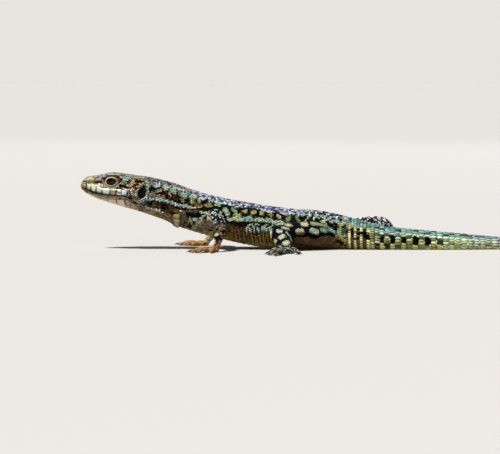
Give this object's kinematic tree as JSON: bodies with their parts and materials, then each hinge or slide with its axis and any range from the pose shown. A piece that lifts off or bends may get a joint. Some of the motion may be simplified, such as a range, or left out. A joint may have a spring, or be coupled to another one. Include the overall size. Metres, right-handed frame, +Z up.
{
  "type": "wall lizard",
  "caption": "Life-size still model of a wall lizard, patterned green, black and brown, with its head raised, its fore feet planted and its long tail laid out behind on the ground.",
  "frame": {"origin": "on the ground, below the middle of the lizard's outer box", "axes": "+X towards the tail, so the head points towards -X; +Y towards the lizard's right side; +Z up"},
  "size_m": [0.1716, 0.051, 0.0167],
  "materials": {
    "skin": "scaled skin, satin, patterned green, turquoise, black, cream and brown",
    "eye": "wet, glossy, dark",
    "eardrum": "smooth, dark brown",
    "claw": "smooth horn, dark"
  },
  "bodies": {
    "root": {"head": "skin", "lower_jaw": "skin", "neck": "skin", "chest": "skin", "belly": "skin", "pelvis": "skin", "tail_base": "skin", "tail_middle": "skin", "tail_end": "skin", "tail_tip": "skin", "upper_arm_front_left": "skin", "forearm_front_left": "skin", "hand_front_left": "skin", "upper_arm_front_right": "skin", "forearm_front_right": "skin", "hand_front_right": "skin", "thigh_hind_left": "skin", "shank_hind_left": "skin", "foot_hind_left": "skin", "thigh_hind_right": "skin", "shank_hind_right": "skin", "foot_hind_right": "skin", "eye_left": "eye", "eardrum_left": "eardrum", "eye_right": "eye", "eardrum_right": "eardrum", "claw_front_left_1": "claw", "claw_front_left_2": "claw", "claw_front_left_3": "claw", "claw_front_left_4": "claw", "claw_front_left_5": "claw", "claw_front_right_1": "claw", "claw_front_right_2": "claw", "claw_front_right_3": "claw", "claw_front_right_4": "claw", "claw_front_right_5": "claw", "claw_hind_left_1": "claw", "claw_hind_left_2": "claw", "claw_hind_left_3": "claw", "claw_hind_left_4": "claw", "claw_hind_left_5": "claw", "claw_hind_right_1": "claw", "claw_hind_right_2": "claw", "claw_hind_right_3": "claw", "claw_hind_right_4": "claw", "claw_hind_right_5": "claw"}
  },
  "joints": []
}
